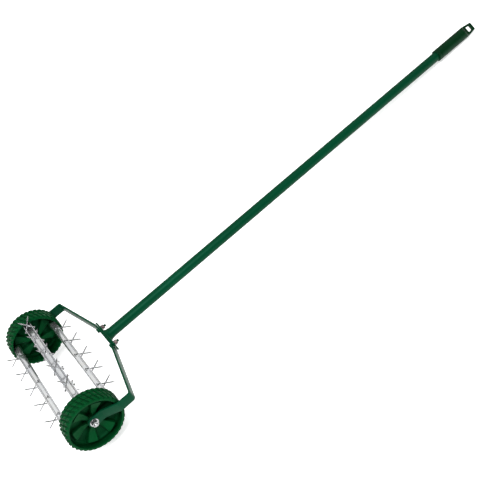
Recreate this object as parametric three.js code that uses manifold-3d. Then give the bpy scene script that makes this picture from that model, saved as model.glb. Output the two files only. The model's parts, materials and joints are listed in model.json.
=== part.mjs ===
// A push-along lawn aerator: a long tube handle on a flat-bar fork, and between the fork's arms a
// roller of two moulded wheels joined by four steel channels that carry crossed pairs of spikes.
//
// Millimetres, +Z up. X runs from the roller to the handle's end, and Y runs along the axle. The
// aerator lies as it rests on flat ground: on its lowest spikes and on the end of its grip.
// Parts are drawn around the axle: "side" is the distance from the middle plane, along Y.

import * as THREE from "three";
import { mergeVertices } from "three/addons/utils/BufferGeometryUtils.js";
import Module from "manifold-3d";

const wasm = await Module();
wasm.setup();

const GAP = 0.3; // left between pieces that touch
const RAD = Math.PI / 180;

// Wheels
const WHEEL_R = 65; // over the tread lugs
const WHEEL_OUT = 193; // side of the outer face
const WHEEL_IN = 153; // side of the inner face
const LUG_COUNT = 36;
const LUG_ROOT_R = 62;
const RIM_R = 61.4;
const RIM_BORE_R = 58.5;
const PETAL_COUNT = 6;
const PETAL_PHASE = 0; // turn of the first petal from the first channel, degrees
const WEB_WALL = 3;
const HUB_R = 12;
const HUB_IN = 158;
const HUB_OUT = 177;

// Axle
const TUBE_AXLE_R = 6.5;
const TUBE_AXLE_BORE_R = 4.4;
const ROD_R = 4;
const ROD_END = 194;
const RUNNING_GAP = 0.3;

// Channels and their spikes
const CHANNEL_COUNT = 4;
const CHANNEL_IN = 42.5; // radius of the channel's back
const CHANNEL_OUT = 57.5; // radius of its lips
const CHANNEL_HALF = 8.75; // half its width
const SHEET = 1.5;
const CORNER = 2.5;
const CHANNEL_END = 170.7;
const SPIKES_PER_CHANNEL = 5;
const SPIKE_PITCH = 62;
const SPIKE_OFFSET = 17; // of the middle pair from the middle plane
const SPIKE_R = 1.5;
const SPIKE_SPLAY = 35; // from the channel's centre line, degrees
const SPIKE_CROSS = 64; // radius where the two spikes of a pair cross
const SPIKE_TIP = 84; // radius of the points along the channel's centre line
const SPIKE_POINT = 6.5; // length of the ground point
const HEAD_R = 2.5;
const HEAD_T = 1.2;
const HEAD_BACK = 19.4; // from the crossing back to the head

// Fork, a flat bar bent in the plane of X and Y
const BAR_WIDTH = 25;
const BAR_T = 4;
const ARM_HUB_SIDE = 181; // middle of the bar's thickness at the hub
const ARM_SIDE = 197.5; // beside the wheel
const CRANK_START = 24;
const CRANK_END = 59;
const CORNER_X = 91;
const YOKE_X = 125.5; // middle of the bar's thickness behind the bracket
const YOKE_HALF = 42; // half the straight length there
const BOLT_SIDE = 35;

// Bracket, tube and grip
const PLATE_T = 4;
const PLATE_HALF = 48;
const PLATE_WIDTH = 26;
const TUBE_R = 12;
const TUBE_WALL = 1.2;
const FLARE_R = 17;
const FLARE_H = 10;
const TUBE_END = 1290;
const GRIP_START = 1207;
const GRIP_TAPER = 1313;
const GRIP_END = 1343;
const GRIP_R = 14.9;
const GRIP_END_R = 10.7;
const TANG_HALF_T = 3.1;
const GRIP_ROLL = 49; // turn of the flattened end about the tube, degrees
const HANG_HOLE = { from: 1324.5, to: 1334.5, halfFrom: 6.9, halfTo: 5 };

// Resting position
const ROLLER_TURN = -6.5; // of the first channel from the fork's plane, degrees
const TIP_SPREAD = (SPIKE_TIP - SPIKE_CROSS) * Math.tan(SPIKE_SPLAY * RAD);
const TIP_R = Math.hypot(SPIKE_TIP, TIP_SPREAD);
const HANDLE_DROP = Math.asin((TIP_R - GRIP_R) / GRIP_TAPER) / RAD; // degrees below level

const steel = { color: 0xc9ccd0, roughness: 0.25, metalness: 1 };
const greenPaint = { color: 0x024a2d, roughness: 0.35, metalness: 0 };
const wheelPlastic = { color: 0x03472a, roughness: 0.5, metalness: 0 };
const gripPlastic = { color: 0x01301a, roughness: 0.55, metalness: 0 };
const darkSteel = { color: 0x3b3838, roughness: 0.35, metalness: 0.9 };

// Turns a closed three.js geometry into a solid that can be joined and cut.
function solid(geometry) {
  const bare = geometry.clone();
  bare.deleteAttribute("normal");
  bare.deleteAttribute("uv");
  const merged = mergeVertices(bare, 1e-4);
  const corners = [];
  const index = merged.index.array;
  for (let i = 0; i < index.length; i += 3) {
    const [a, b, c] = [index[i], index[i + 1], index[i + 2]];
    if (a !== b && b !== c && c !== a) corners.push(a, b, c);
  }
  const vertProperties = new Float32Array(merged.attributes.position.array);
  const build = (triangles) => {
    const triVerts = new Uint32Array(triangles);
    return new wasm.Manifold(new wasm.Mesh({ numProp: 3, vertProperties, triVerts }));
  };
  const made = build(corners);
  return made.volume() > 0 ? made : build(corners.reverse());
}

function geometryOf(made) {
  const mesh = made.getMesh();
  const geometry = new THREE.BufferGeometry();
  geometry.setAttribute("position", new THREE.BufferAttribute(mesh.vertProperties, 3));
  geometry.setIndex(new THREE.BufferAttribute(mesh.triVerts, 1));
  geometry.computeVertexNormals();
  return geometry;
}

// A solid turned about the Y axis. The outline is a list of [radius, height along Y].
function turnedY(outline, segments) {
  const points = outline.map(([r, y]) => new THREE.Vector2(r, y));
  return new THREE.LatheGeometry(points, segments);
}

// The same about the X axis, with heights along X.
function turnedX(outline, segments) {
  return turnedY(outline, segments).rotateZ(-Math.PI / 2);
}

// A closed ring outline between two radii and two heights.
function ringOutline(inner, outer, from, to) {
  return [[inner, from], [outer, from], [outer, to], [inner, to], [inner, from]];
}

function rodOutline(radius, from, to) {
  return [[0, from], [radius, from], [radius, to], [0, to]];
}

function shapeOf(points) {
  return new THREE.Shape(points.map(([x, y]) => new THREE.Vector2(x, y)));
}

// Pushes an outline in X and Z along Y, from one side to the other.
function pushedY(points, from, to) {
  const geometry = new THREE.ExtrudeGeometry(shapeOf(points), { depth: to - from, bevelEnabled: false });
  return geometry.rotateX(Math.PI / 2).translate(0, to, 0);
}

// Pushes an outline in X and Y along Z, centred on the XY plane.
function pushedZ(points, width) {
  const geometry = new THREE.ExtrudeGeometry(shapeOf(points), { depth: width, bevelEnabled: false });
  return geometry.translate(0, 0, -width / 2);
}

function hexagon(acrossFlats) {
  const r = acrossFlats / Math.sqrt(3);
  return Array.from({ length: 6 }, (_, k) => [r * Math.cos(k * 60 * RAD), r * Math.sin(k * 60 * RAD)]);
}

function box(from, to) {
  const size = from.map((low, i) => to[i] - low);
  const geometry = new THREE.BoxGeometry(...size);
  return geometry.translate(...from.map((low, i) => low + size[i] / 2));
}

// ---- Wheel -------------------------------------------------------------------------------------

function treadOutline() {
  const step = 360 / LUG_COUNT;
  const corners = [[0.22, LUG_ROOT_R], [0.3, WHEEL_R], [0.7, WHEEL_R], [0.78, LUG_ROOT_R]];
  const points = [];
  for (let lug = 0; lug < LUG_COUNT; lug += 1) {
    for (const [part, r] of corners) {
      const angle = (lug + part) * step * RAD;
      points.push([r * Math.cos(angle), r * Math.sin(angle)]);
    }
  }
  return points;
}

// Side of the web's outer surface, at rings of growing radius, on a petal and in the hollow between.
const WEB_RINGS = [
  { r: 10, petal: 176.5, hollow: 166 },
  { r: 17, petal: 176.5, hollow: 166 },
  { r: 27, petal: 176.5, hollow: 170 },
  { r: 49, petal: 185, hollow: 174 },
  { r: 52.5, petal: 178.5, hollow: 178.5 },
  { r: 59.5, petal: 178.5, hollow: 178.5 },
];
const PETAL_HALF = 12.5; // half the angle of a petal's flat top
const PETAL_FOOT = 17.5; // half the angle at its foot

// The fluted web between two surfaces, each given as a height for one ring on or off a petal.
function flutedWeb(upper, lower) {
  const pitch = 360 / PETAL_COUNT;
  const stations = [];
  for (let k = 0; k < PETAL_COUNT; k += 1) {
    const middle = PETAL_PHASE + k * pitch;
    for (const offset of [-PETAL_HALF, 0, PETAL_HALF]) stations.push([middle + offset, true]);
    for (const offset of [PETAL_FOOT, pitch / 2, pitch - PETAL_FOOT]) {
      stations.push([middle + offset, false]);
    }
  }
  const rings = WEB_RINGS.length;
  const loop = 2 * rings;
  const positions = [];
  for (const [angle, onPetal] of stations) {
    const put = (ring, height) =>
      positions.push(ring.r * Math.cos(angle * RAD), height(ring, onPetal), ring.r * Math.sin(angle * RAD));
    for (const ring of WEB_RINGS) put(ring, upper);
    for (const ring of [...WEB_RINGS].reverse()) put(ring, lower);
  }
  const index = [];
  for (let s = 0; s < stations.length; s += 1) {
    const here = s * loop;
    const next = ((s + 1) % stations.length) * loop;
    for (let i = 0; i < loop; i += 1) {
      const j = (i + 1) % loop;
      index.push(here + i, here + j, next + j, here + i, next + j, next + i);
    }
  }
  const geometry = new THREE.BufferGeometry();
  geometry.setAttribute("position", new THREE.Float32BufferAttribute(positions, 3));
  geometry.setIndex(index);
  return geometry;
}

const webTop = (ring, onPetal) => (onPetal ? ring.petal : ring.hollow);

// The wheel at the +Y end, around the axle, with its first channel socket at +X.
function wheelSolid() {
  const tread = solid(pushedY(treadOutline(), WHEEL_IN + 1.5, WHEEL_OUT - 1.5));
  const inside = solid(turnedY(rodOutline(RIM_BORE_R + 1, WHEEL_IN - 1, WHEEL_OUT + 1), 72));
  const rimOutline = [
    [RIM_BORE_R, WHEEL_IN],
    [RIM_R, WHEEL_IN],
    [RIM_R, WHEEL_OUT],
    [RIM_BORE_R - 1.5, WHEEL_OUT],
    [RIM_BORE_R, WHEEL_OUT - 12],
    [RIM_BORE_R, WHEEL_IN],
  ];
  const rim = solid(turnedY(rimOutline, 72));
  const web = solid(flutedWeb(webTop, (ring, onPetal) => webTop(ring, onPetal) - WEB_WALL));
  const underWeb = solid(flutedWeb((ring, onPetal) => webTop(ring, onPetal) - 1, () => WHEEL_IN + 2));
  const hub = solid(turnedY(rodOutline(HUB_R, HUB_IN, HUB_OUT), 32));
  const bore = solid(turnedY(rodOutline(TUBE_AXLE_R + RUNNING_GAP, WHEEL_IN, WHEEL_OUT), 32));

  let wheel = tread.subtract(inside).add(rim).add(web).add(hub);
  const wall = 2;
  const socketBlock = box(
    [CHANNEL_IN - GAP - wall, CHANNEL_END - 7, -CHANNEL_HALF - GAP - wall],
    [RIM_BORE_R + 1, WHEEL_OUT, CHANNEL_HALF + GAP + wall],
  );
  const channelRoom = box(
    [CHANNEL_IN - GAP, WHEEL_IN - 1, -CHANNEL_HALF - GAP],
    [CHANNEL_OUT + GAP, CHANNEL_END + GAP, CHANNEL_HALF + GAP],
  );
  const aroundAxle = (geometry, k) => solid(geometry.clone().rotateY((-360 / CHANNEL_COUNT) * k * RAD));
  for (let k = 0; k < CHANNEL_COUNT; k += 1) {
    wheel = wheel.add(aroundAxle(socketBlock, k).intersect(underWeb));
  }
  for (let k = 0; k < CHANNEL_COUNT; k += 1) wheel = wheel.subtract(aroundAxle(channelRoom, k));
  return wheel.subtract(bore);
}

// ---- Channel and spikes, drawn with the channel's centre line along +X --------------------------

// A turned solid along the line of one spike of a pair. Heights are counted from the crossing, and
// lean is +1 or -1 for the side that the point leans to.
function alongSpike(outline, lean, segments) {
  return turnedX(outline, segments)
    .rotateY(-lean * SPIKE_SPLAY * RAD)
    .translate(SPIKE_CROSS, 0, 0);
}

const spikePlaces = Array.from(
  { length: SPIKES_PER_CHANNEL },
  (_, k) => SPIKE_OFFSET + (k - (SPIKES_PER_CHANNEL - 1) / 2) * SPIKE_PITCH,
);

function channelSolid() {
  const [a, b] = [CHANNEL_HALF, CHANNEL_HALF - SHEET];
  const inside = CHANNEL_IN + SHEET;
  const corner = CORNER - 0.6 * SHEET;
  const outline = [
    [CHANNEL_OUT, -a],
    [CHANNEL_OUT, -b],
    [inside + corner, -b],
    [inside, -b + corner],
    [inside, b - corner],
    [inside + corner, b],
    [CHANNEL_OUT, b],
    [CHANNEL_OUT, a],
    [CHANNEL_IN + CORNER, a],
    [CHANNEL_IN, a - CORNER],
    [CHANNEL_IN, -a + CORNER],
    [CHANNEL_IN + CORNER, -a],
  ];
  let channel = solid(pushedY(outline, -CHANNEL_END, CHANNEL_END));
  for (const y of spikePlaces) {
    for (const lean of [-1, 1]) {
      const hole = alongSpike(rodOutline(SPIKE_R + GAP, -22, -10), lean, 6);
      channel = channel.subtract(solid(hole.translate(0, y, 0)));
    }
  }
  return channel;
}

// Two spikes that cross outside the channel and are welded there.
function spikePairSolid() {
  const point = (SPIKE_TIP - SPIKE_CROSS) / Math.cos(SPIKE_SPLAY * RAD);
  const outline = [
    [0, -HEAD_BACK - HEAD_T],
    [HEAD_R, -HEAD_BACK - HEAD_T],
    [HEAD_R, -HEAD_BACK],
    [SPIKE_R, -HEAD_BACK],
    [SPIKE_R, point - SPIKE_POINT],
    [0, point],
  ];
  return solid(alongSpike(outline, 1, 6)).add(solid(alongSpike(outline, -1, 6)));
}

// ---- Fork and bracket --------------------------------------------------------------------------

// The outline of a bar of even thickness that follows a line with mitred bends.
function barOutline(line, thickness) {
  const edge = (side) =>
    line.map(([x, y], i) => {
      const before = new THREE.Vector2(...line[Math.max(i - 1, 0)]);
      const here = new THREE.Vector2(x, y);
      const after = new THREE.Vector2(...line[Math.min(i + 1, line.length - 1)]);
      const normals = [here.clone().sub(before), after.sub(here)]
        .filter((step) => step.length() > 0)
        .map((step) => new THREE.Vector2(-step.y, step.x).normalize());
      const mean = normals.reduce((sum, n) => sum.add(n), new THREE.Vector2()).normalize();
      const reach = (side * thickness) / 2 / mean.dot(normals[0]);
      return [x + mean.x * reach, y + mean.y * reach];
    });
  return [...edge(1), ...edge(-1).reverse()];
}

function forkSolid() {
  const half = [
    [-BAR_WIDTH / 2, ARM_HUB_SIDE],
    [CRANK_START, ARM_HUB_SIDE],
    [CRANK_END, ARM_SIDE],
    [CORNER_X - 3, ARM_SIDE],
    [CORNER_X + 0.8, ARM_SIDE - 2.4],
    [YOKE_X, YOKE_HALF],
  ];
  const line = [...half, ...half.map(([x, y]) => [x, -y]).reverse()];
  const bar = solid(pushedZ(barOutline(line, BAR_T), BAR_WIDTH));
  const roundEnd = new THREE.Shape();
  roundEnd.moveTo(YOKE_X + BAR_T, -BAR_WIDTH);
  roundEnd.lineTo(YOKE_X + BAR_T, BAR_WIDTH);
  roundEnd.lineTo(0, BAR_WIDTH / 2);
  roundEnd.absarc(0, 0, BAR_WIDTH / 2, Math.PI / 2, (3 * Math.PI) / 2, false);
  const keep = pushedY(roundEnd.getPoints(10).map((p) => [p.x, p.y]), -ARM_SIDE - BAR_T, ARM_SIDE + BAR_T);
  let fork = bar.intersect(solid(keep));
  fork = fork.subtract(solid(turnedY(rodOutline(ROD_R + GAP, -ARM_SIDE, ARM_SIDE), 20)));
  return fork.subtract(boltHoles());
}

function boltHoles() {
  const hole = (y) => solid(turnedX(rodOutline(3 + GAP, YOKE_X - 10, YOKE_X + 15), 16).translate(0, y, 0));
  return hole(BOLT_SIDE).add(hole(-BOLT_SIDE));
}

const YOKE_FACE = YOKE_X + BAR_T / 2;
const PLATE_BACK = YOKE_FACE + GAP;
const PLATE_FACE = PLATE_BACK + PLATE_T;

function bracketSolid() {
  const half = PLATE_WIDTH / 2;
  const plate = solid(box([PLATE_BACK, -PLATE_HALF, -half], [PLATE_FACE, PLATE_HALF, half]));
  const flareOutline = [
    [TUBE_R + GAP, PLATE_FACE - 1],
    [FLARE_R, PLATE_FACE - 1],
    [FLARE_R, PLATE_FACE + 1],
    [TUBE_R + 1.8, PLATE_FACE + 5],
    [TUBE_R + 0.9, PLATE_FACE + FLARE_H],
    [TUBE_R + GAP, PLATE_FACE + FLARE_H],
    [TUBE_R + GAP, PLATE_FACE - 1],
  ];
  const sides = solid(box([PLATE_FACE - 2, -30, -half], [PLATE_FACE + 20, 30, half]));
  const flare = solid(turnedX(flareOutline, 32)).intersect(sides);
  return plate.add(flare).subtract(boltHoles());
}

// ---- Grip --------------------------------------------------------------------------------------

function gripSolid() {
  const outline = [
    [0, GRIP_START],
    [GRIP_R - 0.9, GRIP_START],
    [GRIP_R, GRIP_START + 3],
    [GRIP_R, GRIP_TAPER],
    [GRIP_END_R, GRIP_END - 1.2],
    [GRIP_END_R - 1.2, GRIP_END],
    [0, GRIP_END],
  ];
  const upper = [
    [GRIP_START - 1, GRIP_R + 1],
    [TUBE_END + 14, GRIP_R + 1],
    [HANG_HOLE.from - 4, TANG_HALF_T + 1.5],
    [HANG_HOLE.from - 1, TANG_HALF_T],
    [GRIP_END + 1, TANG_HALF_T],
  ];
  const wedge = [...upper, ...upper.map(([x, z]) => [x, -z]).reverse()];
  const body = solid(turnedX(outline, 32)).intersect(solid(pushedY(wedge, -GRIP_R - 1, GRIP_R + 1)));
  const bore = solid(turnedX(rodOutline(TUBE_R + GAP, GRIP_START - 1, TUBE_END + GAP), 32));
  const hang = pushedZ(
    [
      [HANG_HOLE.from, -HANG_HOLE.halfFrom],
      [HANG_HOLE.to, -HANG_HOLE.halfTo],
      [HANG_HOLE.to, HANG_HOLE.halfTo],
      [HANG_HOLE.from, HANG_HOLE.halfFrom],
    ],
    2 * GRIP_R,
  );
  return body.subtract(bore).subtract(solid(hang));
}

// ---- Fasteners ---------------------------------------------------------------------------------

const ARM_OUT = ARM_HUB_SIDE + BAR_T / 2; // outer face of an arm at the hub
const ARM_IN = ARM_HUB_SIDE - BAR_T / 2;
const WASHER_T = 1.6;

function axleNutSolid() {
  const from = ARM_OUT + GAP + WASHER_T + GAP;
  const nut = solid(pushedY(hexagon(13), from, from + 6.5));
  return nut.subtract(solid(turnedY(rodOutline(ROD_R + GAP, from - 1, from + 8), 20)));
}

function boltNutSolid() {
  const from = PLATE_FACE + GAP + WASHER_T + GAP;
  const nut = solid(pushedY(hexagon(10), 0, 5).rotateZ(-Math.PI / 2).translate(from, 0, 0));
  return nut.subtract(solid(turnedX(rodOutline(3 + GAP, from - 1, from + 6), 16)));
}

function bracketBoltSolid() {
  const under = YOKE_X - BAR_T / 2 - GAP;
  const head = solid(pushedY(hexagon(10), 0, 4).rotateZ(-Math.PI / 2).translate(under - 4, 0, 0));
  const shank = solid(turnedX(rodOutline(3, under - 1, PLATE_FACE + 12), 16));
  return head.add(shank);
}

// ---- Assembly ----------------------------------------------------------------------------------

const aerator = new THREE.Group();
const frame = new THREE.Group();
const roller = new THREE.Group();
frame.rotation.y = HANDLE_DROP * RAD;
roller.rotation.y = (HANDLE_DROP - ROLLER_TURN) * RAD;
aerator.add(frame, roller);

function place(parent, name, geometry, look) {
  const mesh = new THREE.Mesh(geometry, new THREE.MeshStandardMaterial(look));
  mesh.name = name;
  parent.add(mesh);
  return mesh;
}

const ENDS = [["near", Math.PI], ["far", 0]]; // a half turn about Z brings a +Y piece to the -Y end

function addHandle() {
  const tubeOutline = ringOutline(TUBE_R - TUBE_WALL, TUBE_R, PLATE_FACE + GAP, TUBE_END);
  place(frame, "handle_tube", turnedX(tubeOutline, 32), greenPaint);
  place(frame, "handle_grip", geometryOf(gripSolid()), gripPlastic).rotation.x = GRIP_ROLL * RAD;
  place(frame, "bracket_plate", geometryOf(bracketSolid()), greenPaint);
  place(frame, "fork", geometryOf(forkSolid()), greenPaint);
  const washerOutline = ringOutline(3 + GAP, 6.2, PLATE_FACE + GAP, PLATE_FACE + GAP + WASHER_T);
  for (const [end, turn] of ENDS) {
    const y = Math.cos(turn) * BOLT_SIDE;
    place(frame, `bracket_bolt_${end}`, geometryOf(bracketBoltSolid()), greenPaint).position.y = y;
    place(frame, `bracket_washer_${end}`, turnedX(washerOutline, 16), darkSteel).position.y = y;
    place(frame, `bracket_nut_${end}`, geometryOf(boltNutSolid()), darkSteel).position.y = y;
  }
}

function addAxle() {
  const tubeEnd = ARM_IN - GAP;
  const axleTube = turnedY(ringOutline(TUBE_AXLE_BORE_R, TUBE_AXLE_R, -tubeEnd, tubeEnd), 24);
  place(frame, "axle_tube", axleTube, steel);
  place(frame, "axle_rod", turnedY(rodOutline(ROD_R, -ROD_END, ROD_END), 20), steel);
  const inner = ringOutline(TUBE_AXLE_R + RUNNING_GAP, 11, HUB_OUT + GAP, HUB_OUT + GAP + 1.4);
  const outer = ringOutline(ROD_R + GAP, 9.5, ARM_OUT + GAP, ARM_OUT + GAP + WASHER_T);
  for (const [end, turn] of ENDS) {
    place(frame, `hub_spacer_${end}`, turnedY(inner, 24), steel).rotation.z = turn;
    place(frame, `axle_washer_${end}`, turnedY(outer, 24), steel).rotation.z = turn;
    place(frame, `axle_nut_${end}`, geometryOf(axleNutSolid()), steel).rotation.z = turn;
  }
}

function addRoller() {
  const wheel = geometryOf(wheelSolid());
  for (const [end, turn] of ENDS) place(roller, `wheel_${end}`, wheel, wheelPlastic).rotation.z = turn;
  const channel = geometryOf(channelSolid());
  const pair = geometryOf(spikePairSolid());
  for (let k = 0; k < CHANNEL_COUNT; k += 1) {
    const letter = "abcd"[k];
    const arm = new THREE.Group();
    arm.rotation.y = (-360 / CHANNEL_COUNT) * k * RAD;
    roller.add(arm);
    place(arm, `spike_channel_${letter}`, channel, steel);
    spikePlaces.forEach((y, i) => {
      place(arm, `spike_pair_${letter}${i + 1}`, pair, steel).position.y = y;
    });
  }
}

addHandle();
addAxle();
addRoller();

// Stands the aerator on the ground plane, with the middle of its footprint at the origin.
aerator.updateMatrixWorld(true);
const bounds = new THREE.Box3().setFromObject(aerator, true);
const middle = bounds.getCenter(new THREE.Vector3());
aerator.position.set(-middle.x, -middle.y, -bounds.min.z);

export default aerator;
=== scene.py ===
import json
import math

import bmesh
import bpy
import numpy as np
from mathutils import Matrix, Vector


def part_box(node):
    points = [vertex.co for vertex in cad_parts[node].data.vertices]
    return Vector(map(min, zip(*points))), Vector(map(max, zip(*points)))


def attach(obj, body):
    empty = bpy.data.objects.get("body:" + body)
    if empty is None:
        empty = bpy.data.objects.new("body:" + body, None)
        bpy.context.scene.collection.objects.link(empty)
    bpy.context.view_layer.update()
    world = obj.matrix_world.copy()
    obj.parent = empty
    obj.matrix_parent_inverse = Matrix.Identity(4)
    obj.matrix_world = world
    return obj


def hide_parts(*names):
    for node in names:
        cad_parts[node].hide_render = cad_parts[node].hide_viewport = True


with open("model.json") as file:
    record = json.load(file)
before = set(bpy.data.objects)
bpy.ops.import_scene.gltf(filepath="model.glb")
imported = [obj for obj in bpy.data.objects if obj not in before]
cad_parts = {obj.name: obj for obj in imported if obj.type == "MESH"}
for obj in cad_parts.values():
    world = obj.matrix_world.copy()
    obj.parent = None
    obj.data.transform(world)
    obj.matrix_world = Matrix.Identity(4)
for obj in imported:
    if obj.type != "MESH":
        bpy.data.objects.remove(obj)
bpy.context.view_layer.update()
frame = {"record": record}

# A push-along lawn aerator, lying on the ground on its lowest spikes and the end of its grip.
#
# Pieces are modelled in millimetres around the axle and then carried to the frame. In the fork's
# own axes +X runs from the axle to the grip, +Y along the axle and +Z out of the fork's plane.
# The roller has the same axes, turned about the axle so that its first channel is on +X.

MM = 0.001

# ---- Sizes, in millimetres -----------------------------------------------------------------------

GAP = 0.3  # left between pieces that touch

# Wheels
WHEEL_R = 65.0
WHEEL_OUT = 193.0  # side (distance from the middle plane) of a wheel's outer face
WHEEL_IN = 153.0
TREAD_BASE_R = 62.0
RIM_BORE_R = 58.5
LUG_COUNT = 36
LUG_WIDTHS = (7.4, 9.0, 7.4)  # along the tread, one for each row
LUG_GAP = 0.6  # between rows
LUG_SLANT = 0.5
LUG_CORNER = 1.1
LUG_STAGGER = 0.5  # of every second row, in lugs
PETAL_COUNT = 6
PETAL_HALF = 13.0  # half the angle of a petal's top, degrees
PETAL_FOOT = 17.0  # half the angle at its foot
WEB_WALL = 3.0
HUB_R = 12.0
HUB_IN = 158.0
HUB_OUT = 177.0
HUB_TAPER = 8.0

# Axle
TUBE_AXLE_R = 6.5
TUBE_AXLE_BORE_R = 4.4
ROD_R = 4.0
ROD_END = 194.0
RUNNING_GAP = 0.3
HUB_SPACER_R = 11.0
HUB_SPACER_T = 1.4

# Channels and spikes
CHANNEL_COUNT = 4
CHANNEL_IN = 42.5
CHANNEL_OUT = 57.5
CHANNEL_HALF = 8.75
CHANNEL_END = 170.7
SHEET = 1.5
GROOVE_AT = 54.3
GROOVE_DEPTH = 0.9
SOCKET_WALL = 2.3
SOCKET_CORNER = 2.5
SOCKET_MOUTH = CHANNEL_END - 2
SOCKET_FLOOR = 172.5
SPIKES_PER_CHANNEL = 5
SPIKE_PITCH = 62.0
SPIKE_OFFSET = 17.0  # of the middle pair from the middle of the channel
SPIKE_R = 1.5
SPIKE_SPLAY = math.radians(35)  # of each spike from the pair's middle
SPIKE_CROSS = 64.0  # where the pair crosses, from the axle
SPIKE_TIP = 84.0
SPIKE_POINT = 6.5
SPIKE_HOLE = (-24.0, -9.0)  # its cutter, along the spike from where the pair crosses
HEAD_BACK = 19.4
HEAD_R = 2.5
HEAD_T = 1.2
BEAD_R = 2.35  # the weld where the pair crosses
BEAD_HALF = 2.5
BEAD_SQUASH = 0.78  # of its height along the axle

# Fork
BAR_WIDTH = 25.0
BAR_T = 4.0
ARM_HUB_SIDE = 181.0
ARM_SIDE = 197.5
CRANK_START = 24.0
CRANK_END = 59.0
CORNER_X = 91.3
YOKE_X = 125.5
YOKE_HALF = 42.0
BEND_STEPS = 8

# Bolts and washers
BOLT_SIDE = 35.0
BOLT_R = 3.0
BOLT_HOLE_R = 3.3
BOLT_HEAD_T = 4
BOLT_TIP = 12  # of the bolt's end beyond the plate's face
BRACKET_WASHER_R = 6.2
BRACKET_HEX = 10  # across the flats
BRACKET_NUT_T = 5
WASHER_T = 1.6
AXLE_WASHER_R = 9.5
AXLE_HEX = 13
AXLE_NUT_T = 6.5
HEX_SEGMENTS = 96
HEX_TURN_OFF = math.radians(28)

# Bracket, tube and grip
PLATE_BACK = YOKE_X + BAR_T / 2 + GAP
PLATE_T = 4.0
PLATE_FACE = PLATE_BACK + PLATE_T
PLATE_HALF = 48.0
PLATE_WIDTH = 26.0
PLATE_EDGE = 0.7
PLATE_CORNER = 3.0
TUBE_R = 12.0
TUBE_WALL = 1.2
TUBE_END = 1290.0
FLARE_R = 17.5
FLARE_H = 10.0
WELD_RIPPLES = 28
WELD_RIPPLE_DEPTH = 0.28
GRIP_START = 1207.0
GRIP_TAPER = 1313.0
GRIP_END = 1343.0
GRIP_R = 14.9
GRIP_END_R = 10.7
TANG_HALF_T = 3.1
GRIP_SEGMENTS = 96
GRIP_ROLL = math.radians(49)  # turn of the flattened end about the tube
HANG_HOLE = (1322.5, 7.8, 1335.5, 5.8)  # place and half width at its two ends
FLATTEN_START = TUBE_END + 14
FLATTEN_END = HANG_HOLE[0] - 3

ROLLER_TURN = math.radians(-6.5)  # of the first channel from the fork's plane

# ---- Axes ----------------------------------------------------------------------------------------


def middle_of(node):
    low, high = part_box(node)
    return (low + high) / 2


def axes_at(origin, x, y, z):
    """Carries millimetres on these axes to the frame's metres."""
    turn = Matrix((x, y, z)).transposed().to_4x4()
    return Matrix.Translation(origin) @ turn @ Matrix.Scale(MM, 4)


mounts = {mount["name"]: mount for mount in frame["record"]["mounts"]}
ALONG = Vector(mounts["grip_end"]["axis"]).normalized()
ACROSS = Vector((0, 1, 0))
OUT = ALONG.cross(ACROSS)
FORK = axes_at(middle_of("axle_rod"), ALONG, ACROSS, OUT)
ROLLER = FORK @ Matrix.Rotation(-ROLLER_TURN, 4, "Y")
ENDS = (("near", Matrix.Rotation(math.pi, 4, "Z")), ("far", Matrix.Identity(4)))

# ---- Materials -----------------------------------------------------------------------------------


class Shader:
    """A material under construction: its nodes, and the object's own coordinates in metres."""

    def __init__(self, name):
        self.material = bpy.data.materials.new(name)
        self.material.use_nodes = True
        self.tree = self.material.node_tree
        self.surface = self.tree.nodes["Principled BSDF"]
        self.place = self.add("ShaderNodeTexCoord").outputs["Object"]

    def add(self, kind, inputs=None, **settings):
        node = self.tree.nodes.new(kind)
        for key, value in settings.items():
            setattr(node, key, value)
        self.feed(node, inputs or {})
        return node

    def feed(self, node, inputs):
        for key, value in inputs.items():
            if isinstance(value, bpy.types.NodeSocket):
                self.tree.links.new(value, node.inputs[key])
            else:
                node.inputs[key].default_value = value

    def noise(self, scale, detail=3.0, roughness=0.5, stretch=(1, 1, 1)):
        place = self.place
        if stretch != (1, 1, 1):
            place = self.add("ShaderNodeMapping", {"Vector": place, "Scale": stretch}).outputs[0]
        inputs = {"Vector": place, "Scale": scale, "Detail": detail, "Roughness": roughness}
        return self.add("ShaderNodeTexNoise", inputs).outputs["Fac"]

    def ramp(self, value, *stops):
        """Colours along a value, each stop a place and a colour."""
        ramp = self.add("ShaderNodeValToRGB", {"Fac": value})
        elements = ramp.color_ramp.elements
        while len(elements) < len(stops):
            elements.new(0.5)
        for element, (place, color) in zip(elements, stops):
            element.position = place
            element.color = (*color, 1)
        return ramp.outputs["Color"]

    def remap(self, value, low, high, start=0.3, stop=0.7):
        """Carries start..stop to low..high."""
        source = {"Value": value, "From Min": start, "From Max": stop}
        inputs = {**source, "To Min": low, "To Max": high}
        return self.add("ShaderNodeMapRange", inputs).outputs["Result"]

    def blend(self, factor, a, b, mode="MIX"):
        node = self.add("ShaderNodeMix", data_type="RGBA", blend_type=mode)
        self.feed(node, {"Factor": factor, 6: a, 7: b})
        return node.outputs[2]

    def bump(self, height, distance, strength=1.0, under=None):
        inputs = {"Height": height, "Distance": distance, "Strength": strength}
        if under is not None:
            inputs["Normal"] = under
        return self.add("ShaderNodeBump", inputs).outputs["Normal"]


GREEN_GLOSS = (0.3, 1.0, 0.7, 1)  # the tint of a highlight on green paint or plastic
SHADE_REACH = 0.03  # how far the painted shade in a wheel's corners and hollows reaches, metres


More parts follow.
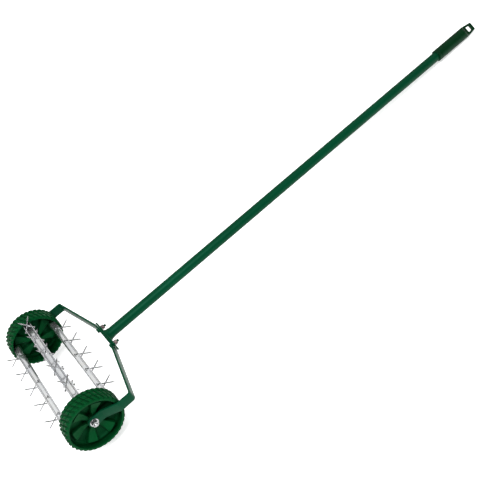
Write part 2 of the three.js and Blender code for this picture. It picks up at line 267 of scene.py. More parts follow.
def green_paint():
    """Powder coat: an even dark green with a faint orange peel."""
    s = Shader("green_paint")
    broad = s.noise(9, 2)
    peel = s.noise(420, 2, 0.4)
    grain = s.noise(2600, 2, 0.6)
    color = s.ramp(broad, (0.3, (0.0003, 0.033, 0.012)), (0.7, (0.0005, 0.044, 0.017)))
    color = s.blend(s.remap(grain, 0, 0.25), color, (0.001, 0.064, 0.027, 1))
    normal = s.bump(peel, 0.00025, 0.35)
    normal = s.bump(grain, 0.00003, 0.3, normal)
    s.feed(s.surface, {
        "Base Color": color,
        "Roughness": s.remap(s.noise(120, 3), 0.30, 0.42),
        "Specular IOR Level": 0.10,
        "Specular Tint": GREEN_GLOSS,
        "Normal": normal,
    })
    return s.material


def wheel_plastic():
    """Moulded plastic: satin green, finely grained, with faint flow marks, and painted shade in its
    corners and hollows.
    """
    s = Shader("wheel_plastic")
    flow = s.noise(22, 4, 0.6, (1, 0.35, 1))
    grain = s.noise(1500, 3, 0.6)
    color = s.ramp(flow, (0.28, (0.0002, 0.033, 0.006)), (0.72, (0.0004, 0.052, 0.011)))
    color = s.blend(s.remap(grain, 0, 0.3), color, (0.001, 0.072, 0.020, 1))
    # painted shade: where the surface is hemmed in, in corners and hollows, the colour darkens
    # towards a near-black green
    reach = {"Distance": SHADE_REACH}
    open_sky = s.add("ShaderNodeAmbientOcclusion", reach, samples=8).outputs["AO"]
    corners = s.remap(open_sky, 0.85, 0.0, 0.3, 0.95)
    color = s.blend(corners, color, (0.0002, 0.012, 0.003, 1))
    normal = s.bump(flow, 0.0006, 0.15)
    normal = s.bump(grain, 0.00008, 0.45, normal)
    s.feed(s.surface, {
        "Base Color": color,
        "Roughness": s.remap(s.noise(60, 3), 0.42, 0.56),
        "Specular IOR Level": 0.08,
        "Specular Tint": GREEN_GLOSS,
        "Normal": normal,
    })
    return s.material


def grip_plastic():
    """Softer, darker plastic with a pebbled grip texture."""
    s = Shader("grip_plastic")
    cells = s.add("ShaderNodeTexVoronoi", {"Vector": s.place, "Scale": 620.0}).outputs["Distance"]
    fine = s.noise(1900, 3, 0.6)
    color = s.ramp(s.noise(30, 3), (0.3, (0.0001, 0.012, 0.002)), (0.7, (0.0002, 0.019, 0.003)))
    color = s.blend(s.remap(fine, 0, 0.2), color, (0.001, 0.036, 0.009, 1))
    normal = s.bump(cells, 0.00022, 0.35)
    normal = s.bump(fine, 0.00005, 0.4, normal)
    s.feed(s.surface, {
        "Base Color": color,
        "Roughness": s.remap(s.noise(90, 3), 0.36, 0.46),
        "Specular IOR Level": 0.16,
        "Specular Tint": GREEN_GLOSS,
        "Normal": normal,
    })
    return s.material


def zinc(name, stretch, shade=1.0):
    """Zinc plate with a faint blue and straw cast. The stretch draws its lines along one axis, and
    a shade below 1 darkens all of its colour: painted shade, for darker copies of the same zinc."""
    s = Shader(name)
    lines = s.noise(900, 3, 0.6, stretch)
    clouds = s.noise(26, 4, 0.6)
    color = s.ramp(
        clouds,
        (0.25, (0.80, 0.82, 0.85)),
        (0.50, (0.90, 0.91, 0.92)),
        (0.78, (0.92, 0.91, 0.88)),
    )
    color = s.blend(s.remap(lines, 0, 0.15), color, (0.50, 0.51, 0.53, 1))
    # painted shade: a shade below 1 darkens this copy of the zinc all over
    color = s.blend(1.0, color, (shade, shade, shade, 1), "MULTIPLY")
    s.feed(s.surface, {
        "Base Color": color,
        "Metallic": 0.92,
        "Roughness": s.remap(s.noise(340, 3, 0.6, stretch), 0.14, 0.22),
        "Normal": s.bump(lines, 0.00003, 0.15),
    })
    return s.material


def dark_steel():
    """Black-finished fasteners, oily and a little brown."""
    s = Shader("dark_steel")
    clouds = s.noise(160, 4, 0.6)
    color = s.ramp(clouds, (0.3, (0.045, 0.040, 0.040)), (0.7, (0.13, 0.10, 0.095)))
    s.feed(s.surface, {
        "Base Color": color,
        "Metallic": 1.0,
        "Roughness": s.remap(clouds, 0.24, 0.42),
        "Normal": s.bump(s.noise(1200, 3), 0.00004, 0.35),
    })
    return s.material


def floor_paper():
    """Plain white paper, glowing a little so that its far end stays as pale as its near end."""
    s = Shader("floor_paper")
    color = s.ramp(s.noise(3, 3), (0.3, (0.86, 0.86, 0.86)), (0.7, (0.88, 0.88, 0.88)))
    s.feed(s.surface, {
        "Base Color": color,
        "Roughness": 0.9,
        "Specular IOR Level": 0.1,
        "Emission Color": (1, 1, 1, 1),
        "Emission Strength": 0.55,
    })
    return s.material


LOOKS = {
    "green_paint": green_paint(),
    "wheel_plastic": wheel_plastic(),
    "grip_plastic": grip_plastic(),
    "zinc_steel": zinc("zinc_steel", (1, 0.02, 1)),
    "dark_steel": dark_steel(),
    # the spikes take the zinc darkened to about a third: painted shade
    "spike_zinc_painted_shade": zinc("spike_zinc_painted_shade", (1, 1, 1), 0.36),
    # the axle rod and the hub's washers and nuts take the zinc darkened to under half: painted
    # shade
    "hub_zinc_painted_shade": zinc("hub_zinc_painted_shade", (1, 1, 1), 0.45),
}

# ---- Outlines, as lists of points in a plane -----------------------------------------------------


def rounded(points, radius, steps=4, closed=True):
    """The outline with its corners rounded. A point may carry its own radius as a third number."""
    count = len(points)
    out = []
    for i, point in enumerate(points):
        here = np.array(point[:2], float)
        size = point[2] if len(point) > 2 else radius
        if size <= 0 or (not closed and i in (0, count - 1)):
            out.append(here)
            continue
        back = np.array(points[i - 1][:2], float) - here
        ahead = np.array(points[(i + 1) % count][:2], float) - here
        lengths = np.linalg.norm(back), np.linalg.norm(ahead)
        back, ahead = back / lengths[0], ahead / lengths[1]
        half = math.acos(np.clip(np.dot(back, ahead), -1, 1)) / 2
        reach = min(size / math.tan(half), 0.49 * min(lengths))
        centre_way = (back + ahead) / np.linalg.norm(back + ahead)
        size = reach * math.tan(half)
        centre = here + centre_way * size / math.sin(half)
        start = here + back * reach - centre
        stop = here + ahead * reach - centre
        total = math.atan2(start[0] * stop[1] - start[1] * stop[0], np.dot(start, stop))
        for k in range(steps + 1):
            a = total * k / steps
            turned = (
                start[0] * math.cos(a) - start[1] * math.sin(a),
                start[0] * math.sin(a) + start[1] * math.cos(a),
            )
            out.append(centre + turned)
    return np.array(out)


def circle(count):
    return np.arange(count) * 2 * math.pi / count


# ---- Meshes --------------------------------------------------------------------------------------
#
# Every solid is a list of rings, each with the same number of points: an array (rings, points, 3).
# Rings are joined one to the next. A ring solid joins its last ring to its first. A plain one is
# closed at both ends.


def turned(profile, segments, along="Y", radius_at=None):
    """Rings of a turned solid. The profile is (radius, height) pairs. A radius_at function can make
    it other than round."""
    angle = circle(segments)
    rings = []
    for r, h in profile:
        r = np.full(segments, r) if radius_at is None else radius_at(angle, r, h)
        flat = np.full(segments, h)
        if along == "Y":
            rings.append(np.stack([r * np.sin(angle), flat, r * np.cos(angle)], 1))
        else:
            rings.append(np.stack([flat, r * np.cos(angle), r * np.sin(angle)], 1))
    return np.array(rings)


def ring_profile(inner, outer, start, stop, soft=0.3):
    """The profile of a tube or a washer, with its edges rounded."""
    return rounded([(inner, start), (outer, start), (outer, stop), (inner, stop)], soft, 3)


def pushed(outline, heights, plane="XZ"):
    """Rings of an outline pushed through a list of heights across its plane."""
    rings = []
    for h in heights:
        flat = np.full(len(outline), h)
        a, b = outline[:, 0], outline[:, 1]
        columns = {"XZ": (a, flat, b), "XY": (a, b, flat), "YZ": (flat, a, b)}
        rings.append(np.stack(columns[plane], 1))
    return np.array(rings)


class Solid:
    """Closed shells gathered into one mesh."""

    def __init__(self):
        self.mesh = bmesh.new()

    def add(self, rings, ring_shaped=False):
        """Adds one closed shell, turned right side out."""
        count, size = rings.shape[:2]
        verts = [[self.mesh.verts.new(p) for p in ring] for ring in rings]
        made = []
        for i in range(count if ring_shaped else count - 1):
            a, b = verts[i], verts[(i + 1) % count]
            for j in range(size):
                k = (j + 1) % size
                made.append(self.mesh.faces.new((a[j], a[k], b[k], b[j])))
        if not ring_shaped:
            made.append(self.mesh.faces.new(verts[0][::-1]))
            made.append(self.mesh.faces.new(verts[-1]))
        volume = 0
        for face in made:
            face.normal_update()
            volume += face.calc_center_median().dot(face.normal) * face.calc_area()
        if volume < 0:
            bmesh.ops.reverse_faces(self.mesh, faces=made)
        return self

    def object(self, name):
        mesh = bpy.data.meshes.new(name)
        self.mesh.to_mesh(mesh)
        self.mesh.free()
        return link(bpy.data.objects.new(name, mesh))


def cut(target, cutter, operation="DIFFERENCE"):
    """Cuts one object from another for good, or joins them."""
    change = target.modifiers.new("cut", "BOOLEAN")
    change.operation = operation
    change.solver = "EXACT"
    change.object = cutter
    graph = bpy.context.evaluated_depsgraph_get()
    made = bpy.data.meshes.new_from_object(target.evaluated_get(graph))
    target.modifiers.remove(change)
    target.data = made
    bpy.data.objects.remove(cutter)


def weld_points(mesh, reach=1e-3):
    """Merges points that lie on each other and drops edges and faces of no size."""
    work = bmesh.new()
    work.from_mesh(mesh)
    bmesh.ops.remove_doubles(work, verts=work.verts, dist=reach)
    bmesh.ops.dissolve_degenerate(work, edges=work.edges, dist=reach)
    work.to_mesh(mesh)
    work.free()


def link(made):
    bpy.context.scene.collection.objects.link(made)
    return made


def finish(made, body, look, stands_for, matrix, sharp=32):
    """Carries a finished object to the frame, gives it its look and ties it to its body."""
    mesh = made.data
    mesh.transform(matrix)
    mesh.polygons.foreach_set("use_smooth", [True] * len(mesh.polygons))
    mesh.set_sharp_from_angle(angle=math.radians(sharp))
    mesh.materials.clear()
    mesh.materials.append(LOOKS[look])
    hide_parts(*stands_for)
    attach(made, body)


# ---- Handle --------------------------------------------------------------------------------------


def make_tube():
    profile = ring_profile(TUBE_R - TUBE_WALL, TUBE_R, PLATE_FACE + GAP, TUBE_END, 0.4)
    tube = Solid().add(turned(profile, 96, "X"), ring_shaped=True).object("tube")
    finish(tube, "frame", "green_paint", ["handle_tube"], FORK)


def grip_ring(x):
    """One ring of the grip's skin: round, then drawn in and flattened towards the end."""
    taper = np.clip((x - GRIP_TAPER) / (GRIP_END - GRIP_TAPER), 0, 1)
    wide = GRIP_R + (GRIP_END_R - GRIP_R) * taper
    flat = np.clip((x - FLATTEN_START) / (FLATTEN_END - FLATTEN_START), 0, 1)
    flat = flat * flat * (3 - 2 * flat)
    thick = GRIP_R + (TANG_HALF_T - GRIP_R) * flat
    power = 2 / (2 + 3.5 * flat)  # from a circle to a rounded bar
    angle = circle(GRIP_SEGMENTS)
    c, s = np.cos(angle), np.sin(angle)
    y = wide * np.sign(c) * np.abs(c) ** power
    z = thick * np.sign(s) * np.abs(s) ** power
    return np.stack([np.full(GRIP_SEGMENTS, x), y, z], 1)


def make_grip():
    bore = TUBE_R + GAP
    unit = grip_ring(GRIP_START)[:, 1:] / GRIP_R

    def round_ring(x, r):
        return np.column_stack([np.full(GRIP_SEGMENTS, x), unit * r])

    rings = [round_ring(TUBE_END + GAP, bore), round_ring(GRIP_START + 0.6, bore)]
    lip = [(bore, 0.6, 0), (bore + 0.5, 0), (GRIP_R - 0.5, 0, 0.9), (GRIP_R, 1.6, 1)]
    mouth = rounded(lip, 0.3, 3, closed=False)
    rings += [round_ring(GRIP_START + h, r) for r, h in mouth[1:]]
    # a shallow groove behind the mouth's collar
    groove = [(GRIP_R, 7), (GRIP_R - 0.1, 7.4), (GRIP_R - 0.45, 8), (GRIP_R - 0.45, 8.8)]
    groove += [(GRIP_R - 0.1, 9.4), (GRIP_R, 9.8)]
    rings += [round_ring(GRIP_START + h, r) for r, h in groove]
    rings += [grip_ring(x) for x in np.linspace(GRIP_START + 14, FLATTEN_START - 2, 12)]
    rings += [grip_ring(x) for x in np.linspace(FLATTEN_START, GRIP_END - 1.5, 26)]
    # the end's rounded edge
    last = rings[-1]
    for drop, inset in ((1.0, 0.15), (0.4, 0.55), (0.0, 1.3)):
        ring = last.copy()
        ring[:, 0] = GRIP_END - drop
        ring[:, 1] *= 1 - inset / GRIP_END_R
        ring[:, 2] *= 1 - inset / TANG_HALF_T / 2
        rings.append(ring)
    grip = Solid().add(np.array(rings)).object("grip")
    start, half_start, stop, half_stop = HANG_HOLE
    corners = [(start, -half_start), (stop, -half_stop), (stop, half_stop), (start, half_start)]
    hole = rounded(corners, 1.6, 6)
    cut(grip, Solid().add(pushed(hole, (-GRIP_R, GRIP_R), "XY")).object("hole"))
    seat = FORK @ Matrix.Rotation(GRIP_ROLL, 4, "X")
    finish(grip, "frame", "grip_plastic", ["handle_grip"], seat)


# ---- Fork ----------------------------------------------------------------------------------------


def bar_section(half_width, corner=0.9, steps=3):
    """The flat bar's section as (across its thickness, across its width)."""
    t = BAR_T / 2
    corner = min(corner, half_width * 0.6)
    points = [(-t, -half_width), (t, -half_width), (t, half_width), (-t, half_width)]
    return rounded(points, corner, steps)


def fork_line():
    """The fork's middle line from one hub's end to the other, with a bend at each corner."""
    half = [
        (-BAR_WIDTH / 2, ARM_HUB_SIDE, 0),
        (CRANK_START, ARM_HUB_SIDE, 9),
        (CRANK_END, ARM_SIDE, 9),
        (CORNER_X, ARM_SIDE, 6),
        (YOKE_X, YOKE_HALF, 14),
    ]
    whole = half + [(x, -y, r) for x, y, r in reversed(half)]
    return rounded(whole, 0, BEND_STEPS, closed=False)


def cut_bolt_holes(target, start, stop):
    for side in (-BOLT_SIDE, BOLT_SIDE):
        hole = turned([(BOLT_HOLE_R, start), (BOLT_HOLE_R, stop)], 32, "X")
        cut(target, Solid().add(hole + np.array([0, side, 0])).object("hole"))


def make_fork():
    line = fork_line()
    half = BAR_WIDTH / 2
    turns = np.radians([8, 14, 22, 32, 43, 55, 67, 79])  # round the arm's rounded end
    first = [(-half * math.cos(a), ARM_HUB_SIDE, half * math.sin(a)) for a in turns]
    stations = first + [(0.0, ARM_HUB_SIDE, half)]
    stations += [(x, y, half) for x, y in line[1:-1]]
    stations += [(0.0, -ARM_HUB_SIDE, half)] + [(x, -y, w) for x, y, w in reversed(first)]
    rings = []
    for i, (x, y, width) in enumerate(stations):
        before = np.array(stations[max(i - 1, 0)][:2])
        after = np.array(stations[min(i + 1, len(stations) - 1)][:2])
        way = (after - before) / np.linalg.norm(after - before)
        normal = np.array([-way[1], way[0]])
        thick, wide = bar_section(width).T
        rings.append(np.column_stack([x + thick * normal[0], y + thick * normal[1], wide]))
    fork = Solid().add(np.array(rings)).object("fork")
    bore = [(ROD_R + GAP, -ARM_SIDE - 5), (ROD_R + GAP, ARM_SIDE + 5)]
    cut(fork, Solid().add(turned(bore, 40)).object("bore"))
    cut_bolt_holes(fork, YOKE_X - 8, YOKE_X + 8)
    finish(fork, "frame", "green_paint", ["fork"], FORK)


# ---- Bracket -------------------------------------------------------------------------------------


def make_bracket():
    half = PLATE_WIDTH / 2
    corners = [(-PLATE_HALF, -half), (PLATE_HALF, -half), (PLATE_HALF, half), (-PLATE_HALF, half)]
    # how far the outline is drawn in at the plate's broken edges, and where along the tube
    edge = PLATE_EDGE
    levels = [(edge, PLATE_BACK), (edge * 0.3, PLATE_BACK + edge * 0.3), (0, PLATE_BACK + edge)]
    levels += [(inset, PLATE_BACK + PLATE_FACE - x) for inset, x in reversed(levels)]
    rings = []
    for inset, x in levels:
        inner = [(y - math.copysign(inset, y), z - math.copysign(inset, z)) for y, z in corners]
        outline = rounded(inner, PLATE_CORNER - inset, 6)
        rings.append(pushed(outline, [x], "YZ")[0])
    plate = Solid().add(np.array(rings)).object("bracket")
    cut_bolt_holes(plate, PLATE_BACK - 4, PLATE_FACE + 4)

    # the weld: a hollow flare round the tube's foot, with its ripples
    steps = 14
    profile = [(TUBE_R + GAP, PLATE_FACE - 1.5), (FLARE_R, PLATE_FACE - 1.5)]
    for k in range(steps + 1):
        a = math.pi / 2 * k / steps
        r = FLARE_R - (FLARE_R - TUBE_R - 0.7) * math.sin(a) ** 0.8
        profile.append((r, PLATE_FACE + FLARE_H * (1 - math.cos(a))))
    profile.append((TUBE_R + GAP, PLATE_FACE + FLARE_H))

    def ripple(angle, r, h):
        share = np.clip((r - TUBE_R - 0.6) / (FLARE_R - TUBE_R), 0, 1)
        wave = np.abs(np.sin(angle * (WELD_RIPPLES / 2) + 0.15 * h))
        return r + WELD_RIPPLE_DEPTH * share * wave

    weld = turned(profile, 168, "X", ripple)
    weld[:, :, 2] = np.clip(weld[:, :, 2], -half + 0.4, half - 0.4)
    joined = Solid()
    joined.mesh.from_mesh(plate.data)
    bpy.data.objects.remove(plate)
    joined.add(weld, ring_shaped=True)
    finish(joined.object("bracket"), "frame", "green_paint", ["bracket_plate"], FORK)


# ---- Fasteners -----------------------------------------------------------------------------------


def hexagon_radius(angle, across):
    sector = np.mod(angle + math.pi / 6, math.pi / 3) - math.pi / 6
    return across / 2 / np.cos(sector)


def hex_rings(across, height, both=True, bore=None):
    """Rings of a hexagon along X from 0 to height, its corners turned off at one end or both."""
    angle = circle(HEX_SEGMENTS)
    hexagon = hexagon_radius(angle, across)
    face = across / 2 * 0.95
    drop = (hexagon - face) * math.tan(HEX_TURN_OFF)
    crisp = 0.12

    def ring(radius, x):
        radius = np.broadcast_to(radius, angle.shape)
        x = np.broadcast_to(x, angle.shape)
        return np.stack([x, radius * np.cos(angle), radius * np.sin(angle)], 1)

    rings = [ring(face, 0), ring(hexagon - crisp, drop)] if both else [ring(hexagon - crisp, 0)]
    rings.append(ring(hexagon, drop + crisp if both else crisp))
    rings += [ring(hexagon, height - drop - crisp), ring(hexagon - crisp, height - drop)]
    rings.append(ring(face, height))
    if bore is not None:
        sink = 0.5
        rings += [ring(bore + sink, height), ring(bore, height - sink)]
        rings += [ring(bore, sink), ring(bore + sink, 0)]
    return np.array(rings)


def thread_profile(radius, start, stop, pitch=1.1, depth=0.32):
    """The outside of a thread as (radius, height) pairs."""
    count = int(abs(stop - start) / pitch)
    step = (stop - start) / count
    profile = []
    for k in range(count):
        h = start + (stop - start) * k / count
        profile += [(radius - depth, h), (radius, h + 0.4 * step), (radius, h + 0.6 * step)]
    profile.append((radius - depth, stop))
    return profile


def make_bracket_fasteners():
    under = YOKE_X - BAR_T / 2 - GAP
    washer_at = PLATE_FACE + GAP
    nut_at = washer_at + WASHER_T + GAP
    tip = PLATE_FACE + BOLT_TIP
    for end, turn in ENDS:
        side = Matrix.Translation((0, math.copysign(BOLT_SIDE, turn[1][1]), 0))
        seat = FORK @ side
        head = hex_rings(BRACKET_HEX, BOLT_HEAD_T, both=False)
        head[:, :, 0] = under - head[:, :, 0]
        shank = [(BOLT_R, under - 1), (BOLT_R, nut_at - 0.5)]
        shank += thread_profile(BOLT_R, nut_at, tip - 0.8) + [(BOLT_R - 0.8, tip)]
        name = f"bracket_bolt_{end}"
        bolt = Solid().add(head).add(turned(shank, 32, "X")).object(name)
        finish(bolt, "frame", "green_paint", [name], seat)
        washer = ring_profile(BOLT_HOLE_R, BRACKET_WASHER_R, washer_at, washer_at + WASHER_T)
        washer = Solid().add(turned(washer, 64, "X"), ring_shaped=True)
        name = f"bracket_washer_{end}"
        finish(washer.object(name), "frame", "dark_steel", [name], seat)
        nut = hex_rings(BRACKET_HEX, BRACKET_NUT_T, bore=BOLT_HOLE_R)
        nut[:, :, 0] += nut_at
        name = f"bracket_nut_{end}"
        finish(Solid().add(nut, ring_shaped=True).object(name), "frame", "dark_steel", [name], seat)


def make_axle():
    arm_in = ARM_HUB_SIDE - BAR_T / 2
    arm_out = ARM_HUB_SIDE + BAR_T / 2
    tube = ring_profile(TUBE_AXLE_BORE_R, TUBE_AXLE_R, -arm_in + GAP, arm_in - GAP, 0.4)
    tube = Solid().add(turned(tube, 64), ring_shaped=True).object("axle_tube")
    finish(tube, "frame", "zinc_steel", ["axle_tube"], FORK)
    washer_at = arm_out + GAP
    nut_at = washer_at + WASHER_T + GAP
    one_end = [(3.0, ROD_END)] + thread_profile(ROD_R, ROD_END - 0.9, arm_out - 6, 1.25)
    profile = one_end + [(ROD_R, arm_out - 8)]
    profile += [(r, -h) for r, h in reversed(profile)]
    rod = Solid().add(turned(profile, 48)).object("axle_rod")
    # painted shade: the rod takes the darkened copy of the zinc
    finish(rod, "frame", "hub_zinc_painted_shade", ["axle_rod"], FORK)
    for end, turn in ENDS:
        seat = FORK @ turn
        bore, start = TUBE_AXLE_R + RUNNING_GAP, HUB_OUT + GAP
        spacer = turned(ring_profile(bore, HUB_SPACER_R, start, start + HUB_SPACER_T), 64)
        name = f"hub_spacer_{end}"
        finish(Solid().add(spacer, True).object(name), "frame", "zinc_steel", [name], seat)
        # painted shade: the washer and the nut take the darkened copy of the zinc
        washer = ring_profile(ROD_R + GAP, AXLE_WASHER_R, washer_at, washer_at + WASHER_T)
        name = f"axle_washer_{end}"
        washer = Solid().add(turned(washer, 72), ring_shaped=True).object(name)
        finish(washer, "frame", "hub_zinc_painted_shade", [name], seat)
        nut = hex_rings(AXLE_HEX, AXLE_NUT_T, bore=ROD_R + GAP)
        nut[:, :, 0] += nut_at
        name = f"axle_nut_{end}"
        nut = Solid().add(nut, ring_shaped=True).object(name)
        finish(nut, "frame", "hub_zinc_painted_shade", [name], seat @ Matrix.Rotation(math.pi / 2, 4, "Z"))


# ---- Wheels --------------------------------------------------------------------------------------

# the side of the web's outer surface at growing radii, on a petal and in the hollow between two
WEB_R = np.array([11.0, 17.0, 27.0, 48.5, 52.5, 59.5])
PETAL_HEIGHT = np.array([176.5, 176.5, 176.5, 185.0, 178.5, 178.5])
HOLLOW_HEIGHT = np.array([166.0, 166.0, 170.0, 174.0, 178.5, 178.5])
# the radii of the web's rings, closer together where it bends
WEB_RINGS = (11, 14, 17, 20, 23.5, 27, 31, 35, 39, 43, 46.5, 48)
WEB_RINGS += (48.8, 49.6, 50.8, 51.8, 52.6, 53.5, 56, 59.5)


def web_height(radius, angle):
    """Side of the web's outer surface: petals with sloping edges, and hollows between."""
    pitch = 2 * math.pi / PETAL_COUNT
    off = np.degrees(np.abs(np.mod(angle + pitch / 2, pitch) - pitch / 2))
    share = np.clip((PETAL_FOOT - off) / (PETAL_FOOT - PETAL_HALF), 0, 1)
    share = share * share * (3 - 2 * share)
    petal = np.interp(radius, WEB_R, PETAL_HEIGHT)
    hollow = np.interp(radius, WEB_R, HOLLOW_HEIGHT)
    return hollow + (petal - hollow) * share


def web_rings():
    radii = np.array(WEB_RINGS, float)
    angle = circle(PETAL_COUNT * 48)
    x, z = np.cos(angle), np.sin(angle)
    top = [np.stack([r * x, web_height(r, angle), r * z], 1) for r in radii]
    low = [np.stack([r * x, web_height(r, angle) - WEB_WALL, r * z], 1) for r in radii[::-1]]
    return np.array(top + low)


def on_tread(radius, turn, side):
    return np.stack([radius * np.cos(turn), side, radius * np.sin(turn)], -1)


def lug_rings(turn, side, length, width, slant):
    """One tread block: a slanted rounded block on the tread's curve, narrowing to its top."""
    corners = [(-length / 2, -1), (length / 2, -1), (length / 2, 1), (-length / 2, 1)]
    levels = [(TREAD_BASE_R - 1, 1.06), (TREAD_BASE_R + 1, 1.0), (WHEEL_R - 0.9, 0.90)]
    levels.append((WHEEL_R, 0.66))
    rings = []
    for radius, share in levels:
        sized = [(s * share, t * width / 2 * share) for s, t in corners]
        outline = rounded(sized, LUG_CORNER, 3)
        along, across = outline[:, 0], outline[:, 1]
        angle = turn + (across + along * slant) / WHEEL_R
        rings.append(on_tread(radius, angle, side + along))
    return np.array(rings)


def socket_outline(margin, high):
    """A box round the channel's section, up to a given height."""
    low, wide = CHANNEL_IN - margin, CHANNEL_HALF + margin
    corners = [(low, -wide), (high, -wide), (high, wide), (low, wide)]
    return rounded(corners, SOCKET_CORNER, 4)


def socket_rings(turn):
    """A socket for a channel's end, on the inner side of the web. Its wall runs into the rim."""
    outer = socket_outline(SOCKET_WALL, RIM_BORE_R + 0.6)
    inner = socket_outline(GAP, CHANNEL_OUT + GAP)
    edge = 0.99 * outer + 0.01 * inner
    rings = np.concatenate([
        pushed(outer, (SOCKET_FLOOR, SOCKET_MOUTH + 0.6)),
        pushed(edge, (SOCKET_MOUTH,)),
        pushed(inner, (SOCKET_MOUTH, SOCKET_FLOOR)),
    ])
    x, z = rings[:, :, 0].copy(), rings[:, :, 2].copy()
    rings[:, :, 0] = x * math.cos(turn) - z * math.sin(turn)
    rings[:, :, 2] = x * math.sin(turn) + z * math.cos(turn)
    return rings


def make_wheel(end, turn):
    wheel = Solid()
    rim = rounded(
        [
            (RIM_BORE_R, WHEEL_IN, 1.0),
            (TREAD_BASE_R, WHEEL_IN, 1.2),
            (TREAD_BASE_R, WHEEL_OUT, 1.2),
            (RIM_BORE_R - 1.4, WHEEL_OUT, 0.8),
            (RIM_BORE_R - 0.2, WHEEL_OUT - 11, 3),
        ],
        0.5,
        4,
    )
    wheel.add(turned(rim, 180), ring_shaped=True)
    wheel.add(web_rings(), ring_shaped=True)
    hub = rounded(
        [
            (TUBE_AXLE_R + RUNNING_GAP, HUB_IN),
            (HUB_R - 1.5, HUB_IN),
            (HUB_R, HUB_IN + HUB_TAPER),
            (HUB_R, HUB_OUT),
            (TUBE_AXLE_R + RUNNING_GAP, HUB_OUT),
        ],
        0.8,
        3,
    )
    wheel.add(turned(hub, 72), ring_shaped=True)
    for k in range(CHANNEL_COUNT):
        wheel.add(socket_rings(k * 2 * math.pi / CHANNEL_COUNT), ring_shaped=True)

    pitch = 2 * math.pi / LUG_COUNT
    row_pitch = (WHEEL_OUT - WHEEL_IN - 2) / len(LUG_WIDTHS)
    for row, width in enumerate(LUG_WIDTHS):
        side = WHEEL_IN + 1 + row_pitch * (row + 0.5)
        for k in range(LUG_COUNT):
            lug_at = (k + 0.5 + row % 2 * LUG_STAGGER) * pitch
            wheel.add(lug_rings(lug_at, side, row_pitch - LUG_GAP, width, LUG_SLANT))
    name = f"wheel_{end}"
    finish(wheel.object(name), "roller", "wheel_plastic", [name], ROLLER @ turn, sharp=38)


# ---- Channels and spikes -------------------------------------------------------------------------


def channel_outline():
    """The rolled channel's section, with a shallow groove along each flange."""
    a, b = CHANNEL_HALF, CHANNEL_HALF - SHEET
    back, inside = CHANNEL_IN, CHANNEL_IN + SHEET
    side = [
        (CHANNEL_OUT, b, 0.35),
        (CHANNEL_OUT, a, 0.5),
        (GROOVE_AT + 1.6, a, 0.5),
        (GROOVE_AT + 0.4, a - GROOVE_DEPTH, 0.3),
        (GROOVE_AT - 0.4, a - GROOVE_DEPTH, 0.3),
        (GROOVE_AT - 1.6, a, 0.5),
        (back, a, 6.5),
    ]
    outer = side + [(x, -t, r) for x, t, r in reversed(side)]
    return rounded(outer + [(inside, -b, 4.5), (inside, b, 4.5)], 0, 5)


def spike_ring(profile, lean):
    """A turned solid along one spike's line. Heights count from where the spikes cross."""
    rings = turned(profile, 20, "X")
    x, z = rings[:, :, 0].copy(), rings[:, :, 2].copy()
    c, s = math.cos(SPIKE_SPLAY), lean * math.sin(SPIKE_SPLAY)
    rings[:, :, 0] = x * c - z * s + SPIKE_CROSS
    rings[:, :, 2] = x * s + z * c
    return rings


def spike_places():
    first = SPIKE_OFFSET - SPIKE_PITCH * (SPIKES_PER_CHANNEL - 1) / 2
    return [first + SPIKE_PITCH * k for k in range(SPIKES_PER_CHANNEL)]


def spike_pair_mesh():
    """Two headed spikes that cross in a bead of weld, in a plane at right angles to the axle."""
    point = (SPIKE_TIP - SPIKE_CROSS) / math.cos(SPIKE_SPLAY)
    back = -HEAD_BACK
    profile = [
        (1.6, back - HEAD_T),
        (2.2, back - HEAD_T + 0.08),
        (HEAD_R, back - HEAD_T + 0.4),
        (HEAD_R, back - 0.25),
        (HEAD_R - 0.3, back),
        (SPIKE_R + 0.25, back),
        (SPIKE_R, back + 0.3),
        (SPIKE_R, point - SPIKE_POINT),
        (SPIKE_R * 0.93, point - SPIKE_POINT + 0.6),
        (0.35, point - 0.8),
        (0.12, point - 0.1),
    ]
    first = Solid().add(spike_ring(profile, 1)).object("spike")
    second = Solid().add(spike_ring(profile, -1)).object("spike")
    cut(first, second, "UNION")
    weld = []
    for k in range(1, 12):
        a = math.pi * k / 12
        weld.append((BEAD_R * math.sin(a), -BEAD_HALF * math.cos(a)))
    bead = turned(weld, 24, "X")
    bead[:, :, 0] += SPIKE_CROSS
    bead[:, :, 1] *= BEAD_SQUASH
    cut(first, Solid().add(bead).object("bead"), "UNION")
    weld_points(first.data)
    mesh = first.data
    bpy.data.objects.remove(first)
    return mesh


def spike_holes():
    """Cutters for the holes of all the spikes of a channel."""
    holes = Solid()
    profile = [(SPIKE_R + GAP, h) for h in SPIKE_HOLE]
    for y in spike_places():
        for lean in (-1, 1):
            holes.add(spike_ring(profile, lean) + np.array([0, y, 0]))
    return holes.object("holes")


def make_channels():
    outline = channel_outline()
    e = CHANNEL_END
    channel = Solid().add(pushed(outline, (-e, -e * 0.5, 0, e * 0.5, e))).object("channel")
    cut(channel, spike_holes())
    pair = spike_pair_mesh()
    for k, letter in enumerate("abcd"):
        seat = ROLLER @ Matrix.Rotation(-k * 2 * math.pi / CHANNEL_COUNT, 4, "Y")
        name = f"spike_channel_{letter}"
        made = link(bpy.data.objects.new(name, channel.data.copy()))
        finish(made, "roller", "zinc_steel", [name], seat)
        for i, y in enumerate(spike_places()):
            name = f"spike_pair_{letter}{i + 1}"
            made = link(bpy.data.objects.new(name, pair.copy()))
            # the spike pairs wear the darkened copy of the zinc: painted shade
            finish(made, "roller", "spike_zinc_painted_shade", [name], seat @ Matrix.Translation((0, y, 0)))
    bpy.data.objects.remove(channel)


make_tube()
make_grip()
make_fork()
make_bracket()
make_bracket_fasteners()
make_axle()
for end, turn in ENDS:
    make_wheel(end, turn)
make_channels()

# ---- Floor, lights and camera --------------------------------------------------------------------

FLOOR_SIZE = 60.0  # metres


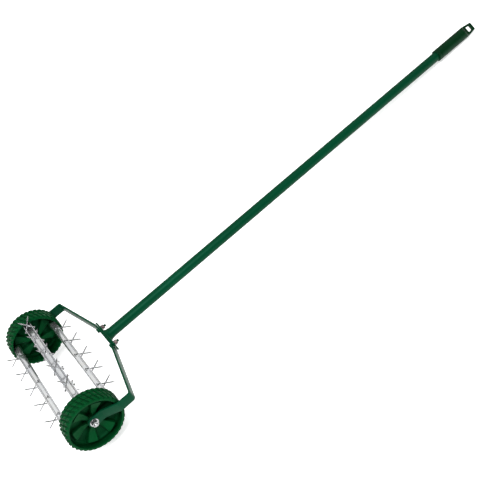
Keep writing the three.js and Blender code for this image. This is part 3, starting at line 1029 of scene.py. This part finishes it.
def make_floor():
    bpy.ops.mesh.primitive_plane_add(size=FLOOR_SIZE, location=(0, 0, 0))
    floor = bpy.context.object
    floor.name = "floor"
    floor.data.materials.append(floor_paper())


def make_light(name, at, aim, size, power):
    data = bpy.data.lights.new(name, "AREA")
    data.shape = "RECTANGLE"
    data.size, data.size_y = size
    data.energy = power
    lamp = link(bpy.data.objects.new(name, data))
    lamp.location = at
    lamp.rotation_euler = (Vector(aim) - Vector(at)).to_track_quat("-Z", "Y").to_euler()


# The studio above, as the sine of the height and a grey: a white foot to the dark walls, and a
# bright ceiling.
SKY = (
    (0.0, 1.0),
    (0.11, 0.95),
    (0.17, 0.05),
    (0.42, 0.05),
    (0.55, 0.60),
    (0.68, 0.90),
    (1.0, 0.80),
)


def make_world():
    world = bpy.data.worlds.new("studio")
    bpy.context.scene.world = world
    world.use_nodes = True
    nodes, links = world.node_tree.nodes, world.node_tree.links
    toward = nodes.new("ShaderNodeTexCoord").outputs["Generated"]
    split = nodes.new("ShaderNodeSeparateXYZ")
    ramp = nodes.new("ShaderNodeValToRGB")
    while len(ramp.color_ramp.elements) < len(SKY):
        ramp.color_ramp.elements.new(0.5)
    for element, (place, shade) in zip(ramp.color_ramp.elements, SKY):
        element.position = place
        element.color = (shade, shade, shade, 1)
    links.new(toward, split.inputs[0])
    links.new(split.outputs["Z"], ramp.inputs["Fac"])
    links.new(ramp.outputs["Color"], nodes["Background"].inputs["Color"])
    nodes["Background"].inputs["Strength"].default_value = 1.0


# The camera, fitted to the photograph's wheels and handle, in the fork's own axes: where it
# stands, what it looks at and which way its right side points.
CAMERA_STANDS = Vector((143.4, -1320.6, 1095.6))
CAMERA_LOOKS_AT = Vector((498.9, -46.7, 0.0))
CAMERA_RIGHT = Vector((0.7431, -0.5433, -0.3907))
CAMERA_LENS = 55.72


def make_camera():
    stands = FORK @ CAMERA_STANDS
    back = (stands - FORK @ CAMERA_LOOKS_AT).normalized()
    right = (FORK.to_3x3() @ CAMERA_RIGHT).normalized()
    up = back.cross(right).normalized()
    right = up.cross(back)
    data = bpy.data.cameras.new("camera")
    data.sensor_width = 36
    data.lens = CAMERA_LENS
    camera = link(bpy.data.objects.new("camera", data))
    turn = Matrix((right, up, back)).transposed().to_4x4()
    camera.matrix_world = Matrix.Translation(stands) @ turn
    data.clip_start, data.clip_end = 0.05, 50
    bpy.context.scene.camera = camera


make_floor()
make_world()
make_light("key", (-0.6, -1.2, 2.6), (-0.2, 0, 0), (1.6, 1.2), 64)
make_light("side", (-2.4, 0.6, 1.6), (-0.4, 0, 0.1), (1.4, 1.4), 18)
make_camera()
bpy.context.scene.view_settings.view_transform = "Standard"
